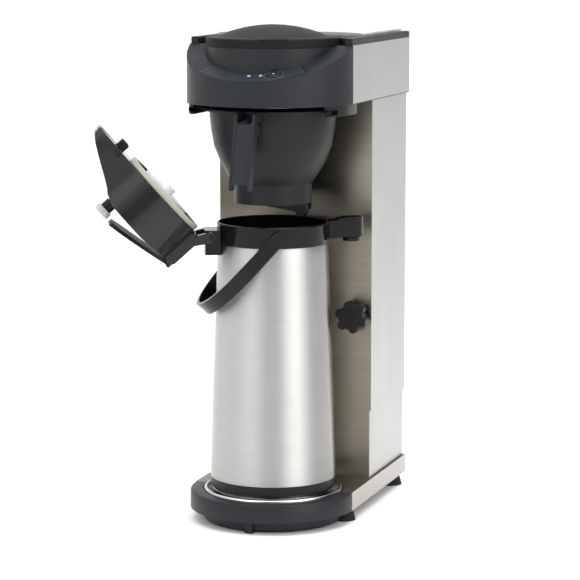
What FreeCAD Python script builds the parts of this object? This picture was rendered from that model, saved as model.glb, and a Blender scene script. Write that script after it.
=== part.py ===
import FreeCAD, Part
import Sketcher
import math
import os

# Commercial filter coffee brewer that brews straight into a vacuum pump pot.
# Frame: origin on the table, on the brew axis; +Z up, the front is -Y, +X is to the right when facing the front.
# The machine: a steel foot box with a round plastic front, a telescoping column clamped by a star knob,
# a head with a water tank, a sliding filter basket with drip stop, and the pump pot with its lid open.

App = FreeCAD
V3 = App.Vector
doc = App.newDocument("brewer")
sheet = doc.addObject("Spreadsheet::Sheet", "Params")

DIMS = [
    ("head_rad", 102.5, "radius of the round head front, half the head width"),
    ("side_front", 6.5, "front edge of the head side walls, in front of the brew axis"),
    ("rear_y", 234.5, "rear face"),
    ("head_low", 507.6, "underside of the head"),
    ("head_top", 576.0, "top edge of the head side walls"),
    ("sheet_t", 1.2, "steel sheet"),
    ("sleeve_half", 98.8, "half width of the outer column"),
    ("sleeve_front", 84.5, "front face of the outer column"),
    ("sleeve_low", 122.0, "lower edge of the outer column"),
    ("sleeve_high", 507.5, "upper edge of the outer column"),
    ("col_half", 97.3, "half width of the inner column"),
    ("col_front", 86.0, "front face of the inner column"),
    ("col_high", 362.0, "upper end of the inner column"),
    ("base_rad", 101.0, "radius of the round foot front, half the foot width"),
    ("base_low", 14.3, "underside of the foot box"),
    ("base_high", 37.0, "top of the foot box"),
    ("tray_hole", 85.5, "hole in the foot for the drip tray"),
    ("tray_wall", 84.4, "outer radius of the drip tray"),
    ("plate_rad", 74.0, "pot platform radius"),
    ("plate_top", 39.5, "top of the pot platform"),
    ("plinth_rad", 86.0, "radius of the round plinth"),
    ("foot_rad", 14.5, "rubber foot, bottom radius"),
    ("foot_top_rad", 11.0, "rubber foot, top radius"),
    ("foot_x", 86.0, "feet, half spacing across"),
    ("foot_y_front", 14.0, "front feet"),
    ("foot_y_rear", 217.0, "rear feet"),
    ("lid_rad", 80.0, "tank lid radius"),
    ("lid_low", 574.3, "tank lid lower edge"),
    ("lid_rim", 585.0, "tank lid rim top"),
    ("lid_dome", 599.5, "tank lid dome top"),
    ("flange_z", 497.3, "filter basket flange underside"),
    ("bowl_low", 411.8, "filter basket bowl, underside"),
    ("collar_rad", 46.7, "filter basket lower collar radius"),
    ("collar_low", 387.5, "filter basket lower collar, lower edge"),
    ("knob_x", 79.0, "clamp knob, distance right of the brew axis"),
    ("knob_z", 241.0, "clamp knob height"),
    ("pot_yaw", 24.0, "pump pot turned about the brew axis, degrees"),
    ("pot_low", 39.8, "underside of the pump pot"),
    ("pot_shell_low", 52.0, "pot shell lower edge"),
    ("pot_shell_high", 338.8, "pot shell upper edge"),
    ("collar_z", 364.0, "pot collar top edge"),
    ("pot_collar_rad", 67.6, "pot collar outer radius"),
    ("pin_r", 75.5, "lid hinge pin, distance from the pot axis"),
    ("pin_z", 348.3, "lid hinge pin height"),
    ("lid_open", 131.8, "pot lid opening angle at rest, degrees"),
    ("bail_in", 71.0, "bail inner half width"),
    ("bail_straight", 51.0, "bail, straight part from the pivot"),
    ("bail_z", 351.0, "bail pivot height"),
    ("bail_drop", 47.0, "bail hanging angle below the horizontal, degrees"),
]


class Q:
    """A length with its value and the spreadsheet expression that gives it."""

    def __init__(self, v, t):
        self.v, self.t = v, t

    def __add__(self, o):
        o = q(o)
        return Q(self.v + o.v, "(%s + %s)" % (self.t, o.t))

    __radd__ = __add__

    def __sub__(self, o):
        o = q(o)
        return Q(self.v - o.v, "(%s - %s)" % (self.t, o.t))

    def __rsub__(self, o):
        return q(o) - self

    def __neg__(self):
        return Q(-self.v, "(0 - %s)" % self.t)

    def __mul__(self, k):
        return Q(self.v * k, "(%s * %g)" % (self.t, k))

    __rmul__ = __mul__


def q(o):
    return o if isinstance(o, Q) else Q(float(o), "%.6g" % o)


def num(o):
    return o.v if isinstance(o, Q) else float(o)


class Sizes:
    pass


D = Sizes()
sheet.set("A1", "name")
sheet.set("B1", "value")
sheet.set("C1", "what it is")
for row, (name, value, note) in enumerate(DIMS, start=2):
    sheet.set("A%d" % row, name)
    sheet.set("B%d" % row, "%g" % value)
    sheet.set("C%d" % row, note)
    sheet.setAlias("B%d" % row, name)
    setattr(D, name, Q(value, "Params." + name))
doc.recompute()

NODES = []
count = {"n": 0}


def uid(stem):
    count["n"] += 1
    return "%s_%03d" % (stem, count["n"])


def bind(obj, prop, value):
    """Sets a property, and binds it to the sheet if the value comes from there."""
    if isinstance(value, Q):
        if "." not in prop:
            setattr(obj, prop, value.v)
        obj.setExpression(prop, value.t)
    else:
        if "." not in prop:
            setattr(obj, prop, value)


def move(obj, x=0, y=0, z=0, axis=(0, 0, 1), angle=0.0):
    obj.Placement = App.Placement(
        V3(num(x), num(y), num(z)), App.Rotation(V3(*axis), angle)
    )
    for c, v in (("x", x), ("y", y), ("z", z)):
        if isinstance(v, Q):
            obj.setExpression("Placement.Base." + c, v.t)
    return obj


def node(obj, name, placement=None):
    """obj is a finished sub-part. Its Label names its file."""
    obj.Label = name
    if placement is not None:
        obj.Placement = placement.multiply(obj.Placement)
    NODES.append((name, obj))
    return obj


# ---------------------------------------------------------------- PartDesign helpers
def body():
    return doc.addObject("PartDesign::Body", uid("Body"))


def plane(b, role):
    return [f for f in b.Origin.OriginFeatures if f.Role == role][0]


def sketch(b, role="XY_Plane", offset=0):
    s = b.newObject("Sketcher::SketchObject", uid("Sketch"))
    s.AttachmentSupport = (plane(b, role), [""])
    s.MapMode = "FlatFace"
    s.AttachmentOffset = App.Placement(V3(0, 0, num(offset)), App.Rotation())
    if isinstance(offset, Q):
        s.setExpression("AttachmentOffset.Base.z", offset.t)
    return s


def _place(s, geo, pos, x, y):
    """Holds a point of the sketch at x, y from the origin, each bound to the sheet where it can be."""
    for kind, v, axis in (("DistanceX", x, -2), ("DistanceY", y, -1)):
        val = num(v)
        if abs(val) < 1e-9:
            s.addConstraint(Sketcher.Constraint("PointOnObject", geo, pos, axis))
            continue
        if val > 0:
            i = s.addConstraint(Sketcher.Constraint(kind, -1, 1, geo, pos, val))
        else:
            i = s.addConstraint(Sketcher.Constraint(kind, geo, pos, -1, 1, -val))
        if isinstance(v, Q):
            s.setExpression("Constraints[%d]" % i, v.t if val > 0 else (-v).t)


def _quarters(pts):
    """Splits each half circle at its middle, because its radius alone would not hold its centre."""
    out = []
    for i, p in enumerate(pts):
        e = pts[(i + 1) % len(pts)]
        if len(p) == 4:
            a, m, b = [V3(num(c[0]), num(c[1]), 0) for c in (p, p[2:], e)]
            arc = Part.Arc(a, m, b)
            curve = arc.toShape().Curve
            c, r = curve.Center, curve.Radius
            if abs((a - b).Length - 2 * r) < 1e-3 * r:
                u = ((a - c) + (m - c)).normalize() * r + c
                w = ((b - c) + (m - c)).normalize() * r + c
                out += [(p[0], p[1], u.x, u.y), (m.x, m.y, w.x, w.y)]
                continue
        out.append(p)
    return out


def outline(s, pts):
    """A closed outline. A point is (x, y), or (x, y, mx, my) where an arc through (mx, my) leads to the next point."""
    pts = _quarters(pts)
    n = len(pts)
    ends = []
    for i, p in enumerate(pts):
        a = V3(num(p[0]), num(p[1]), 0)
        b = V3(num(pts[(i + 1) % n][0]), num(pts[(i + 1) % n][1]), 0)
        if len(p) == 4:
            arc = Part.Arc(a, V3(num(p[2]), num(p[3]), 0), b)
            g = s.addGeometry(arc, False)
            got = s.Geometry[g]
            forward = (got.StartPoint - a).Length < 1e-6
            ends.append((g, 1, 2) if forward else (g, 2, 1))
        else:
            g = s.addGeometry(Part.LineSegment(a, b), False)
            ends.append((g, 1, 2))
    for i in range(n):
        g0, _, e0 = ends[i - 1]
        g1, s1, _ = ends[i]
        s.addConstraint(Sketcher.Constraint("Coincident", g0, e0, g1, s1))
    for i, p in enumerate(pts):
        g, s1, _ = ends[i]
        _place(s, g, s1, p[0], p[1])
        if len(p) == 4:
            s.addConstraint(Sketcher.Constraint("Radius", g, s.Geometry[g].Radius))
    return s


def rect(s, x0, y0, x1, y1):
    return outline(s, [(x0, y0), (x1, y0), (x1, y1), (x0, y1)])


def circle(s, r, x=0, y=0):
    g = s.addGeometry(Part.Circle(V3(num(x), num(y), 0), V3(0, 0, 1), num(r)), False)
    if abs(num(x)) < 1e-9 and abs(num(y)) < 1e-9:
        s.addConstraint(Sketcher.Constraint("Coincident", g, 3, -1, 1))
    else:
        _place(s, g, 3, x, y)
    i = s.addConstraint(Sketcher.Constraint("Radius", g, num(r)))
    if isinstance(r, Q):
        s.setExpression("Constraints[%d]" % i, r.t)
    return s


def pad(b, s, length, back=False):
    f = b.newObject("PartDesign::Pad", uid("Pad"))
    f.Profile = s
    bind(f, "Length", length)
    f.Reversed = back
    return f


def pocket(b, s, length=None, back=False):
    """Cuts length deep along minus the sketch's normal, or along it if back."""
    f = b.newObject("PartDesign::Pocket", uid("Pocket"))
    f.Profile = s
    if length is None:
        f.Type = "ThroughAll"
    else:
        bind(f, "Length", length)
    f.Reversed = back
    return f


def revolve(b, s, angle=360.0):
    f = b.newObject("PartDesign::Revolution", uid("Revolution"))
    f.Profile = s
    f.ReferenceAxis = (s, ["V_Axis"])
    f.Angle = angle
    return f


def groove(b, s):
    f = b.newObject("PartDesign::Groove", uid("Groove"))
    f.Profile = s
    f.ReferenceAxis = (s, ["V_Axis"])
    f.Angle = 360.0
    return f


def polar(b, feature, n, role="Z_Axis"):
    f = b.newObject("PartDesign::PolarPattern", uid("Polar"))
    f.Originals = [feature]
    f.Axis = ([o for o in b.Origin.OriginFeatures if o.Role == role][0], [""])
    f.Angle = 360.0
    f.Occurrences = n
    b.Tip = f
    return f


def spun(pts):
    """A body turned about Z from one closed profile of (radius, height) points."""
    b = body()
    revolve(b, outline(sketch(b, "XZ_Plane"), pts))
    return b


def round_edges(b, feature, radius, pick):
    doc.recompute()
    names = [
        "Edge%d" % (i + 1) for i, e in enumerate(feature.Shape.Edges) if pick(e)
    ]
    f = b.newObject("PartDesign::Fillet", uid("Fillet"))
    f.Base = (feature, names)
    f.Radius = radius
    doc.recompute()
    return f


# ---------------------------------------------------------------- Part helpers
def box(x0, y0, z0, x1, y1, z1):
    o = doc.addObject("Part::Box", uid("Box"))
    bind(o, "Length", x1 - x0)
    bind(o, "Width", y1 - y0)
    bind(o, "Height", z1 - z0)
    return move(o, x0, y0, z0)


def cyl(r, z0, z1, x=0, y=0):
    o = doc.addObject("Part::Cylinder", uid("Cylinder"))
    bind(o, "Radius", r)
    bind(o, "Height", z1 - z0)
    return move(o, x, y, z0)


def cyl_to(r, a, b):
    """A cylinder from point a to point b."""
    a, b = V3(*[num(c) for c in a]), V3(*[num(c) for c in b])
    o = doc.addObject("Part::Cylinder", uid("Cylinder"))
    bind(o, "Radius", r)
    o.Height = (b - a).Length
    o.Placement = App.Placement(a, App.Rotation(V3(0, 0, 1), b - a))
    return o


def cone(r0, r1, z0, z1, x=0, y=0):
    o = doc.addObject("Part::Cone", uid("Cone"))
    bind(o, "Radius1", r0)
    bind(o, "Radius2", r1)
    bind(o, "Height", z1 - z0)
    return move(o, x, y, z0)


def torus(r1, r2, x=0, y=0, z=0):
    o = doc.addObject("Part::Torus", uid("Torus"))
    bind(o, "Radius1", r1)
    bind(o, "Radius2", r2)
    return move(o, x, y, z)


def cut(a, *tools):
    for t in tools:
        o = doc.addObject("Part::Cut", uid("Cut"))
        o.Base, o.Tool = a, t
        a = o
    return a


def fuse(*parts):
    o = doc.addObject("Part::MultiFuse", uid("Fuse"))
    o.Shapes = list(parts)
    o.Refine = True
    return o


def common(a, b):
    o = doc.addObject("Part::Common", uid("Common"))
    o.Base, o.Tool = a, b
    return o


def group(parts):
    o = doc.addObject("Part::Compound", uid("Group"))
    o.Links = list(parts)
    return o


def rounded(o, radius, pick):
    doc.recompute()
    f = doc.addObject("Part::Fillet", uid("Round"))
    f.Base = o
    f.Edges = [
        (i + 1, radius, radius) for i, e in enumerate(o.Shape.Edges) if pick(e)
    ]
    return f


def raw(shape):
    o = doc.addObject("Part::Feature", uid("Shape"))
    o.Shape = shape
    return o


def edge_dir(e):
    if len(e.Vertexes) < 2 or e.Curve.TypeId != "Part::GeomLine":
        return None
    d = e.Vertexes[1].Point - e.Vertexes[0].Point
    return d.normalize()


def upright(e):
    d = edge_dir(e)
    return d is not None and abs(d.z) > 0.999


def tube_path(points, radius):
    """Straight runs joined by tangent arcs of one bend radius."""
    pts = [V3(*p) for p in points]
    edges, at = [], pts[0]
    for i in range(1, len(pts) - 1):
        u = (pts[i] - pts[i - 1]).normalize()
        w = (pts[i + 1] - pts[i]).normalize()
        turn = u.getAngle(w)
        back = radius * math.tan(turn / 2)
        a, b = pts[i] - u * back, pts[i] + w * back
        mid_dir = (w - u).normalize()
        centre = pts[i] + mid_dir * (radius / math.cos(turn / 2))
        mid = centre - mid_dir * radius
        edges.append(Part.LineSegment(at, a).toShape())
        edges.append(Part.Arc(a, mid, b).toShape())
        at = b
    edges.append(Part.LineSegment(at, pts[-1]).toShape())
    return Part.Wire(edges)


def tube(points, bend, r_out, r_in=None):
    path = tube_path(points, bend)
    start = V3(*points[0])
    d = (V3(*points[1]) - start).normalize()
    made = []
    for r in (r_out, r_in):
        if r is None:
            continue
        prof = Part.Wire([Part.Circle(start, d, r).toShape()])
        made.append(path.makePipeShell([prof], True, True))
    return raw(made[0] if len(made) == 1 else made[0].cut(made[1]))


# ================================================================ foot
t = D.sheet_t

# steel foot box: folded sheet, open below and towards the round front
b = body()
pad(b, rect(sketch(b, "XY_Plane", D.base_low), -D.base_rad, 0, D.base_rad, D.rear_y), D.base_high - D.base_low)
pocket(b, rect(sketch(b, "XY_Plane", D.base_low), t - D.base_rad, -20, D.base_rad - t, D.rear_y - t), D.base_high - D.base_low - t, back=True)
pocket(b, circle(sketch(b, "XY_Plane", D.base_high + 5), D.tray_hole), 40)
node(b, "base_housing")

# round plastic front of the foot
fs = spun([(D.tray_hole, D.base_high), (98.8, D.base_high), (100.3, 36.4), (D.base_rad, 34.8), (D.base_rad, 15.0), (98.0, 15.0), (98.0, 34.0), (D.tray_hole, 34.0)])
node(cut(fs, box(-120, -0.15, 0, 120, 120, 60)), "base_front_shell")

# bottom plate that closes the foot and carries the plinth
bp = fuse(box(t - D.base_rad + 0.05, 0, D.base_low, D.base_rad - t - 0.05, D.rear_y - t - 0.05, D.base_low + t),
          common(cyl(97.8, D.base_low, D.base_low + t), box(-101, -101, 10, 101, 1, 20)))
for fx in (-86.0, 86.0):
    for fy in (D.foot_y_front, D.foot_y_rear):
        bp = cut(bp, cyl(2.6, 5, 25, fx, fy))
node(bp, "base_bottom_plate")

# round plinth under the drip tray
b = spun([(70, 1.0), (83, 1.0), (D.plinth_rad, 4.0), (D.plinth_rad, D.base_low), (0, D.base_low), (0, D.base_low - 2), (56, D.base_low - 2), (56, 3.0), (70, 3.0)])
pocket(b, circle(sketch(b, "XY_Plane", 30), 15.6, 86, 14), 40)
pocket(b, circle(sketch(b, "XY_Plane", 30), 15.6, -86, 14), 40)
tab = rounded(box(-5, -91.5, 0, 5, -84, 13.5), 1.2, lambda e: upright(e) and e.Vertexes[0].Y < -90)
node(fuse(b, tab), "base_plinth")

# non-slip ring on which the plinth stands
node(spun([(59, 0), (69.5, 0), (69.95, 0.5), (69.95, 3.0), (59, 3.0)]), "stand_ring")

# four rubber feet and their screws
FEET = [(fx, fy) for fx in (-86.0, 86.0) for fy in (D.foot_y_front, D.foot_y_rear)]
feet, screws = [], []
for fx, fy in FEET:
    foot = cone(D.foot_rad, D.foot_top_rad, 0, D.base_low, fx, fy)
    foot = cut(foot, cyl(6.0, -1, 5.0, fx, fy), cyl(2.6, 4, 20, fx, fy))
    feet.append(foot)
    screws.append(fuse(cyl(5.2, 2.2, 5.0, fx, fy), cyl(2.45, 4.5, 22, fx, fy)))
node(group(feet), "rubber_feet")
node(group(screws), "foot_screws")

# drip tray: pressed dish with a rolled rim
dt = spun([(0, 15.6), (82.9, 15.6), (D.tray_wall, 17.1), (D.tray_wall, 36.9), (83.2, 36.9), (83.2, 17.6), (82.4, 16.8), (0, 16.8)])
node(fuse(dt, torus(82.1, 2.3, 0, 0, 36.9)), "drip_tray")

# raised platform on which the pot stands
b = spun([(0, 38.2), (71.0, 38.2), (71.0, 16.9), (72.2, 16.9), (72.2, 37.2), (D.plate_rad, 38.2), (D.plate_rad, 38.9), (D.plate_rad - 0.6, D.plate_top), (0, D.plate_top)])
for rr, n in ((60.0, 16), (40.0, 10), (20.0, 6)):
    pk = pocket(b, circle(sketch(b, "XY_Plane", D.plate_top + 5), 3.0, rr, 0), 10)
    doc.recompute()
    polar(b, pk, n)
node(b, "vessel_platform")

# inner column: folded steel tube on the foot box, with the clamp slot
b = body()
p = pad(b, rect(sketch(b, "XY_Plane", D.base_high + 0.05), -D.col_half, D.col_front, D.col_half, D.rear_y - 2.2), D.col_high - D.base_high)
p = round_edges(b, p, 1.5, upright)
pocket(b, rect(sketch(b, "XY_Plane", D.base_high), t - D.col_half, D.col_front + t, D.col_half - t, D.rear_y - 2.2 - t), None, back=True)
slot = rounded(box(D.knob_x - 5, 80, 215, D.knob_x + 5, 92, 352), 4.9, lambda e: edge_dir(e) is not None and abs(edge_dir(e).y) > 0.99)
col = cut(b, slot)
node(col, "lower_column")

clips, bolts = [], []
for x in (-70, 70):
    clip = fuse(box(x - 12, 87.25, 37.05, x + 12, 110, 39.6), box(x - 12, 87.25, 37.05, x + 12, 89.75, 60.0))
    clips.append(cut(clip, cyl(3.2, 30, 50, x, 100)))
    hexa = doc.addObject("Part::Prism", uid("Hex"))
    hexa.Polygon, hexa.Circumradius, hexa.Height = 6, 5.2, 4.0
    move(hexa, x, 100, 39.6)
    bolts.append(fuse(hexa, cyl(3.0, 37.1, 40, x, 100)))
node(group(clips + bolts), "column_clips_and_bolts")

# ================================================================ head
SL = 0.424                                   # slope of the control band
TILT = math.degrees(math.atan(SL))
NRM = V3(0, -math.sin(math.radians(TILT)), math.cos(math.radians(TILT)))


def band_z(y):
    return 575.8 + (y + 6.5) * SL


def under_band(lift, thick=300.0):
    """A large block below the control band's plane moved up by lift."""
    o = doc.addObject("Part::Box", uid("Half"))
    o.Length, o.Width, o.Height = 400, 400, thick
    top = V3(0, -6.5, 575.8) + NRM * lift
    rot = App.Rotation(V3(1, 0, 0), TILT)
    o.Placement = App.Placement(top + rot.multVec(V3(-200, -200, -thick)), rot)
    return o


# outer column, a folded U that slides over the inner one
sl = cut(box(-D.sleeve_half, D.sleeve_front, D.sleeve_low, D.sleeve_half, D.rear_y - 1.3, D.sleeve_high),
         box(t - D.sleeve_half, D.sleeve_front + t, 100, D.sleeve_half - t, 300, 600),
         cyl_to(4.4, (79.0, 80, 241.0), (79.0, 90, 241.0)))
node(sl, "column_sleeve")

# rear panel, one sheet over column and head
rp = fuse(box(-D.sleeve_half, D.rear_y - t, D.sleeve_low, D.sleeve_half, D.rear_y, D.head_low),
          box(-D.head_rad, D.rear_y - t, D.head_low, D.head_rad, D.rear_y, 584.0))
rp = cut(rp, cyl_to(8.1, (55, 200, 540), (55, 250, 540)))
vents = [box(-60 + 12 * i, 230, 545, -54 + 12 * i, 240, 565) for i in range(6)]
rp = cut(rp, *vents)
node(rp, "rear_panel")
RS = [(-93, 140), (93, 140), (-93, 330), (93, 330), (-93, 495), (93, 495)]
node(group([cut(cyl_to(3.2, (x, 234.5, z), (x, 236.3, z)), box(x - 2.6, 235.6, z - 0.4, x + 2.6, 240, z + 0.4)) for x, z in RS]), "rear_panel_screws")

# head shell: steel sides and floor in one folded U
hs = cut(box(-D.head_rad, -D.side_front, D.head_low, D.head_rad, D.rear_y - t - 0.05, D.head_top),
         box(t - D.head_rad, -50, D.head_low + t, D.head_rad - t, 300, 600),
         box(-88, 96, 500, 88, 226, 520), cyl(20.5, 500, 520))
node(hs, "head_shell")

# round front housing with the sloping control band and the drum for the tank lid
front = box(-110, -110, 500, 110, -6.6, 600)
hb = common(fuse(common(cyl(D.head_rad, 507.0, 600), under_band(0)), cyl(80.0, 508, 574.0)), front)
hb = cut(hb, common(cyl(100.0, 509.5, 600), under_band(-2.5)), cyl(77.5, 509.5, 600), cyl(81.0, 574.0, 600), cyl(20.5, 500, 520))
BTN = V3(87 * math.sin(math.radians(19.6)), -87 * math.cos(math.radians(19.6)), 0)
BTN.z = band_z(BTN.y)
hb = cut(hb, cyl_to(8.4, BTN - NRM * 12, BTN + NRM * 6))
LEDS = []
for az in (0.0, 9.5):
    c = V3(85.5 * math.sin(math.radians(az)), -85.5 * math.cos(math.radians(az)), 0)
    c.z = band_z(c.y)
    LEDS.append(c)
    hb = cut(hb, cyl_to(2.3, c - NRM * 12, c + NRM * 6))
node(hb, "front_housing")

# control overlay on the sloping band
sect = doc.addObject("Part::Cylinder", uid("Sector"))
sect.Radius, sect.Height, sect.Angle = 100.8, 90, 80.0
move(sect, 0, 0, 500, angle=-128.0)
cp = common(cut(sect, cyl(80.6, 490, 600)), cut(under_band(0.7), under_band(0.0)))
cp = cut(cp, cyl_to(8.4, BTN - NRM * 12, BTN + NRM * 6))
for c in LEDS:
    cp = cut(cp, cyl_to(2.3, c - NRM * 12, c + NRM * 6))
node(cp, "control_panel")
node(group([fuse(cyl_to(2.2, c - NRM * 5, c + NRM * 0.9), cyl_to(3.6, c - NRM * 6, c - NRM * 3)) for c in LEDS]), "indicator_lights")
pb = fuse(cyl_to(7.9, BTN - NRM * 2.0, BTN + NRM * 2.2), cyl_to(3.0, BTN - NRM * 5.5, BTN - NRM * 2.0))
pb = rounded(pb, 0.8, lambda e: e.Curve.TypeId == "Part::GeomCircle" and abs(e.Curve.Radius - 7.9) < 0.01 and (e.Curve.Center - BTN).dot(NRM) > 1)
node(pb, "power_button")
node(fuse(cyl_to(6.0, BTN - NRM * 13.5, BTN - NRM * 8.6), cyl_to(1.4, BTN - NRM * 8.7, BTN - NRM * 8.0)), "power_switch")

# black deck round the tank lid, raised behind it
dk = common(cyl(112.0, 571.0, 574.0), box(-91.8, -6.5, 560, 91.8, 115, 590))
dk2 = common(cut(cyl(112.0, 573.0, 583.0), cyl(82.0, 570, 590)), box(-91.8, 18, 560, 91.8, 115, 590))
node(cut(fuse(dk, dk2), cyl(77.5, 560, 600)), "top_deck")

# bright steel cover behind the deck
tp = cut(box(-91.8, 50, 575.0, 91.8, D.rear_y - 1.4, 587.0), cyl(112.2, 560, 600))
tp_in = cut(box(-90.6, 50, 570, 90.6, D.rear_y - 2.6, 585.8), cyl(113.4, 560, 600))
node(cut(tp, tp_in), "top_plate")

# trim rails along both sides of the top
node(group([rounded(box(x0, -6.5, D.head_top, x0 + 9.0, D.rear_y - 1.4, 584.0), 1.6, lambda e: edge_dir(e) is not None and abs(edge_dir(e).y) > 0.99 and e.Vertexes[0].Z > 580) for x0 in (-101.2, 92.2)]), "top_trims")

# water tank below the lid
wt = fuse(cyl(76.0, 523.0, 567.9), cyl_to(6.5, (-48, 50, 532.5), (-48, 86, 532.5)))
wt = cut(wt, cyl(73.5, 525.5, 600), cyl_to(5.0, (-48, 30, 532.5), (-48, 90, 532.5)))
node(wt, "water_reservoir")

# flow heater across the column with its two thermostats, and its hoses
fh = fuse(cyl_to(22, (-62, 160, 430), (62, 160, 430)), cyl(7.0, 445, 462, -48, 160), cyl(7.0, 445, 462, 48, 160), cyl(9.0, 445, 458, -14, 160), cyl(9.0, 445, 458, 14, 160))
node(fh, "flow_heater")
node(tube([(48, 160, 462.2), (48, 160, 515.8), (0, 0, 515.8), (0, 0, 509.5)], 5.9, 5.0, 3.5), "riser_hose")
node(tube([(-48, 86.2, 532.5), (-48, 160, 532.5), (-48, 160, 462.2)], 24.0, 5.0, 3.5), "feed_hose")
node(cut(box(-70, 214, 395, 70, 215.6, 475), cyl_to(2, (-64, 210, 401), (-64, 220, 401)), cyl_to(2, (64, 210, 469), (64, 220, 469))), "control_board")

# spray head over the basket
sh = fuse(cyl(52.0, 503.0, 506.8), cone(46, 52, 501.5, 503.0), cyl(9.0, 506, 509.4))
for r, n in ((14, 6), (30, 10), (44, 14)):
    for i in range(n):
        a = 2 * math.pi * i / n
        sh = cut(sh, cyl(1.6, 495, 504.5, r * math.cos(a), r * math.sin(a)))
node(sh, "spray_head")

# rails in which the basket hangs
rails = []
for sgn in (-1, 1):
    lo, hi = sorted((sgn * 81.2, sgn * 99.0))
    rl = box(lo, -53, 494.3, hi, 60, 507.0)
    gl, gh = sorted((sgn * 70.0, sgn * 93.0))
    rl = cut(rl, box(gl, -60, 496.8, gh, 55, 502.5))
    rails.append(common(rl, cyl(100.5, 480, 520)))
node(group(rails), "basket_rails")

# cable gland in the rear panel, an empty sleeve
gl = cut(fuse(cyl_to(8.0, (55, 222, 540), (55, 238, 540)), cyl_to(11.0, (55, 234.55, 540), (55, 239.5, 540)), cyl_to(11.0, (55, 226, 540), (55, 233.2, 540))),
         cyl_to(4.25, (55, 210, 540), (55, 250, 540)))
node(gl, "cable_gland")

# nut plate of the clamp, inside the inner column
node(cut(box(64, 87.5, 226, 94, 91.5, 256), cyl_to(4.25, (79, 80, 241), (79, 100, 241))), "clamp_nut_plate")

# tank lid: round disc with a low dome, a skirt and a finger notch in the rim
b = spun([(0, D.lid_low), (D.lid_rad, D.lid_low), (D.lid_rad, D.lid_rim - 1.5), (D.lid_rad - 1.5, D.lid_rim), (68.0, D.lid_rim), (61.0, 587.9), (53.0, 590.85), (44.5, 593.45), (35.5, 595.68), (26.0, 597.46), (16.0, 598.73), (6.0, D.lid_dome - 0.1), (0, D.lid_dome - 0.1)])
ld = cut(fuse(b, cyl(76.3, 568.5, 576)), cyl(73.6, 560, D.lid_low + 1.5), cyl(60.0, 560, D.lid_rim + 0.4), cyl(40.0, 560, D.lid_rim + 6.2))
notch = Part.makeBox(31.0, 12.0, 6.0, V3(-15.5, -88.0, D.lid_rim.v - 3.8))
notch.rotate(V3(0, 0, 0), V3(0, 0, 1), 19.7)
ld = cut(ld, raw(notch))
node(ld, "reservoir_lid")

# ================================================================ clamp knob
lobes = [cyl_to(15.4, (79, 60.5, 241), (79, 76, 241)), cyl_to(11.0, (79, 76, 241), (79, 84.2, 241)),
         cut(cyl_to(8.0, (79, 59.5, 241), (79, 61, 241)), cyl_to(6.4, (79, 58, 241), (79, 60.2, 241)))]
for k in range(6):
    a = math.radians(103 - 60 * k)
    c = (79 + 14.4 * math.cos(a), 241 + 14.4 * math.sin(a))
    lobes.append(cyl_to(5.6, (c[0], 60.5, c[1]), (c[0], 74, c[1])))
node(fuse(*lobes), "clamp_knob")
node(cyl_to(4.0, (79, 84.25, 241), (79, 98, 241)), "clamp_stud")

# ================================================================ filter basket
OUT = [(75.8, 497.0), (75.6, 490.0), (74.1, 476.0), (70.4, 455.0), (62.9, 436.5), (54.1, 421.0), (47.5, D.bowl_low)]
INN = [(45.4, 414.6), (52.3, 423.0), (60.9, 438.0), (68.2, 455.8), (71.9, 476.2), (73.4, 490.0), (73.6, 500.3)]
b = spun([(80.0, D.flange_z), (80.0, 500.3), (73.6, 500.3), (73.4, 490.0), (71.9, 476.2), (68.2, 455.8), (60.9, 438.0), (52.3, 423.0), (44.9, 414.4), (6.0, 412.4),
          (6.0, 406.0), (8.5, 406.0), (8.5, 410.2), (44.5, 410.2), (44.5, D.collar_low), (D.collar_rad, D.collar_low), (D.collar_rad, 411.0),
          (54.1, 421.0), (62.9, 436.5), (70.4, 455.0), (74.1, 476.0), (75.6, 490.0), (75.8, D.flange_z)])
wings = cut(box(-92, -25, D.flange_z, 92, 25, 500.3), cyl(78, 480, 520))
ears = [cut(box(36.5, y0, 379.5, 47.0, y1, 389.5), cut(cyl(60, 370, 400), cyl(46.6, 360, 410))) for y0, y1 in ((-9.6, -6.3), (6.3, 9.6))]
node(fuse(b, wings, *ears, cyl_to(1.5, (40.5, -9.6, 383.0), (40.5, 9.6, 383.0))), "filter_basket")

# handle: two side flanges hung from the front of the rim with a recessed plate between them
def slab(prof, x0, x1):
    """Outline of (y, z) points drawn out along X."""
    w = Part.makePolygon([V3(x0, y, z) for y, z in prof + prof[:1]])
    return raw(Part.Face(w).extrude(V3(x1 - x0, 0, 0)))


FL = [(-96.5, 500.2), (-99.5, 498.8), (-101.0, 495.5), (-121.5, 418.0), (-120.6, 412.0), (-109.0, 412.0), (-107.0, 420.0), (-88.5, 489.0), (-76.0, 490.0), (-76.0, 500.2)]
PL = [(-98.9, 499.5), (-120.3, 419.0), (-117.7, 419.0), (-96.3, 499.5)]
mouth = rounded(box(-9.6, -125, 488.0, 9.6, -90, 520), 5.0, lambda e: edge_dir(e) is not None and abs(edge_dir(e).y) > 0.99 and e.Vertexes[0].Z < 489)
hd = fuse(slab(FL, -12.5, -9.9), slab(FL, 9.9, 12.5), cut(slab(PL, -10.4, 10.4), mouth), box(-10.4, -101.4, 474, 10.4, -74, 483.5))
node(cut(hd, cyl(76.3, 400, 520), cyl(80.1, 497.1, 520)), "basket_handle")
fi = cut(fuse(cyl(42.0, 414.9, 416.2), cut(cyl(42.0, 414.9, 421.0), cyl(40.4, 410, 430))), cyl(8.0, 410, 420), *[box(-30, -31 + 8 * i, 410, 30, -28 + 8 * i, 418) for i in range(8)])
node(fi, "filter_grid")

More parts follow.
